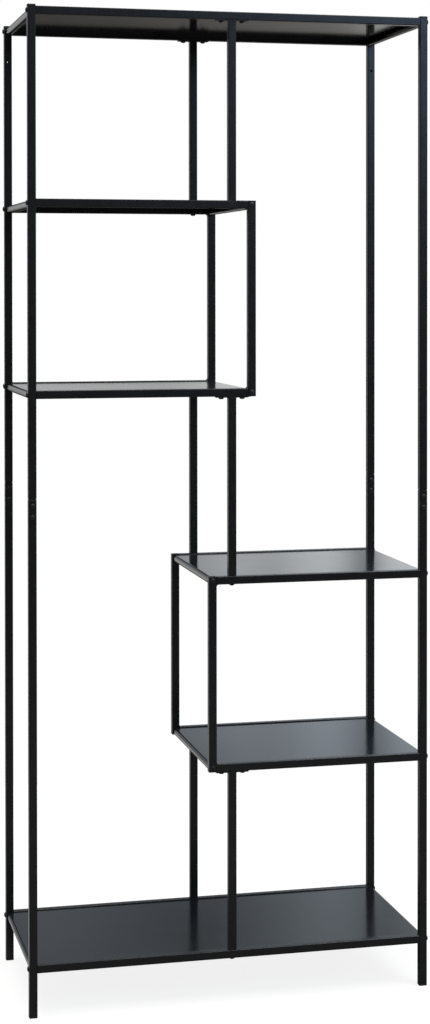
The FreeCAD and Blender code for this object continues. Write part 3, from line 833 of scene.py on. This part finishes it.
def studio_surroundings():
    """White to the eye and plain as a fill, but reflections see a room.

    The room has a pale wall behind the shelf, the ground below it and dim space in front. The ramps run
    over a part of the direction from -1 to 1, so that 0.5 is level in height and the middle across.
    """
    world = bpy.data.worlds.new("studio")
    bpy.context.scene.world = world
    world.use_nodes = True
    nodes = world.node_tree.nodes
    links = world.node_tree.links
    nodes.clear()
    output = nodes.new("ShaderNodeOutputWorld")
    path = nodes.new("ShaderNodeLightPath")
    direction = nodes.new("ShaderNodeTexCoord").outputs["Generated"]
    split = nodes.new("ShaderNodeSeparateXYZ")
    links.new(direction, split.inputs[0])

    def ramp(source, stops):
        node = nodes.new("ShaderNodeValToRGB")
        node.color_ramp.interpolation = "EASE"
        elements = node.color_ramp.elements
        while len(elements) < len(stops):
            elements.new(0.5)
        for element, (position, colour) in zip(elements, stops):
            element.position = position
            element.color = (*colour, 1)
        links.new(source, node.inputs["Fac"])
        return node.outputs["Color"]

    def half_scale(source):
        node = nodes.new("ShaderNodeMapRange")
        node.inputs["From Min"].default_value = -1.0
        node.inputs["From Max"].default_value = 1.0
        links.new(source, node.inputs["Value"])
        return node.outputs["Result"]

    def mix(factor, first, second):
        node = nodes.new("ShaderNodeMix")
        node.data_type = "RGBA"
        links.new(factor, node.inputs["Factor"])
        for socket, source in ((node.inputs["A"], first), (node.inputs["B"], second)):
            if isinstance(source, bpy.types.NodeSocket):
                links.new(source, socket)
            else:
                socket.default_value = (*source, 1)
        return node.outputs["Result"]

    def product(first, second):
        node = nodes.new("ShaderNodeMix")
        node.data_type = "RGBA"
        node.blend_type = "MULTIPLY"
        node.inputs["Factor"].default_value = 1.0
        links.new(first, node.inputs["A"])
        links.new(second, node.inputs["B"])
        return node.outputs["Result"]

    height = half_scale(split.outputs["Z"])
    across = half_scale(split.outputs["X"])
    wall_upwards = ramp(height, (
        (0.500, (0.93, 0.93, 0.91)),
        (0.555, (0.89, 0.905, 0.915)),
        (0.595, (0.555, 0.64, 0.72)),
        (0.632, (0.35, 0.40, 0.45)),
        (0.72, (0.40, 0.42, 0.45)),
        (1.0, (0.65, 0.65, 0.66)),
    ))
    # The wall is dark straight behind, and again in one narrow upright strip on the right.
    wall_across = ramp(across, greys(
        (0.28, 0.30), (0.36, 0.34), (0.385, 0.58), (0.445, 0.69),
        (0.470, 0.16), (0.535, 0.18),
        (0.560, 0.70), (0.594, 0.64), (0.602, 0.77), (0.6075, 0.95), (0.616, 0.79), (0.625, 1.10),
        (0.6322, 1.20), (0.6338, 0.04), (0.6364, 0.04),
        (0.638, 1.14), (0.646, 1.30), (0.72, 0.60),
    ))
    # Higher up, it is also darker a little to the right of the middle.
    darker_patch = ramp(across, greys(
        (0.566, 1.0), (0.578, 0.84), (0.590, 0.64), (0.601, 0.44),
        (0.609, 0.70), (0.620, 1.15), (0.640, 0.95),
    ))
    high_up = ramp(height, greys((0.60, 0), (0.625, 1)))
    wall = product(product(wall_upwards, wall_across), mix(high_up, (1.0, 1.0, 1.0), darker_patch))
    ground = ramp(across, (
        (0.368, (0.15, 0.15, 0.145)),
        (0.400, (0.96, 0.96, 0.93)),
        (0.438, (0.48, 0.48, 0.47)),
        (0.455, (0.24, 0.24, 0.235)),
        (0.50, (0.08, 0.08, 0.077)),
        (0.53, (0.015, 0.015, 0.014)),
        (0.545, (0.015, 0.015, 0.014)),
        (0.562, (0.09, 0.087, 0.080)),
        (0.58, (0.105, 0.102, 0.094)),
        (0.60, (0.155, 0.15, 0.14)),
        (0.630, (0.25, 0.24, 0.225)),
        (0.645, (0.68, 0.68, 0.67)),
        (0.70, (0.50, 0.50, 0.49)),
    ))
    above = ramp(height, greys((0.497, 0), (0.503, 1)))
    dim_room = ramp(height, (
        (0.35, (0.10, 0.10, 0.10)),
        (0.50, (0.13, 0.13, 0.13)),
        (0.55, (0.18, 0.19, 0.21)),
        (0.68, (0.32, 0.34, 0.38)),
        (0.90, (0.65, 0.65, 0.66)),
    ))
    behind = ramp(half_scale(split.outputs["Y"]), greys((0.45, 0), (0.75, 1)))
    room = mix(behind, dim_room, mix(above, ground, wall))
    fill = ramp(height, ((0.35, (0.20, 0.20, 0.20)), (0.75, (0.50, 0.50, 0.51))))
    seen = nodes.new("ShaderNodeMath")
    seen.operation = "MAXIMUM"
    links.new(path.outputs["Is Camera Ray"], seen.inputs[0])
    links.new(path.outputs["Is Transmission Ray"], seen.inputs[1])
    shown = mix(seen.outputs[0], mix(path.outputs["Is Glossy Ray"], fill, room), (1.0, 1.0, 1.0))
    background = nodes.new("ShaderNodeBackground")
    links.new(shown, background.inputs["Color"])
    background.inputs["Strength"].default_value = 1.0
    links.new(background.outputs[0], output.inputs["Surface"])


studio_surroundings()


def softbox(name, place, target, size, energy, colour):
    lamp = bpy.data.lights.new(name, "AREA")
    lamp.shape = "RECTANGLE"
    lamp.size, lamp.size_y = size
    lamp.energy = energy
    lamp.color = colour
    stand = bpy.data.objects.new(name, lamp)
    bpy.context.scene.collection.objects.link(stand)
    aim = Vector(target) - Vector(place)
    stand.matrix_world = Matrix.Translation(place) @ aim.to_track_quat("-Z", "Y").to_matrix().to_4x4()


softbox(
    "key_softbox", place=(2.0, -2.4, 4.6), target=(0, 0, 0.9),
    size=(2.2, 2.2), energy=120, colour=(0.94, 0.97, 1.0))
softbox(
    "top_softbox", place=(-0.6, 0.2, 4.6), target=(0, 0, 0),
    size=(2.6, 2.6), energy=130, colour=(1.0, 1.0, 1.0))
softbox(
    "window_softbox", place=(2.5, -4.9, 3.2), target=(0.2, 0, 1.4),
    size=(2.2, 2.2), energy=44, colour=(0.45, 0.66, 1.0))


# Camera at the photograph's viewpoint

EYE = (-0.8911, -4.2040, 1.3416)
EYE_YAW = math.radians(14.7275)
EYE_PITCH = math.radians(-0.8888)
FOCAL_LENGTH = 77.714
SHIFT_X = -0.1007
SHIFT_Y = -0.1892

lens = bpy.data.cameras.new("viewpoint")
lens.lens = FOCAL_LENGTH
lens.shift_x = SHIFT_X
lens.shift_y = SHIFT_Y
camera = bpy.data.objects.new("viewpoint", lens)
bpy.context.scene.collection.objects.link(camera)
camera.matrix_world = (
    Matrix.Translation(EYE)
    @ Matrix.Rotation(-EYE_YAW, 4, "Z")
    @ Matrix.Rotation(math.pi / 2 + EYE_PITCH, 4, "X")
)
bpy.context.scene.camera = camera
bpy.context.scene.view_settings.view_transform = "Standard"
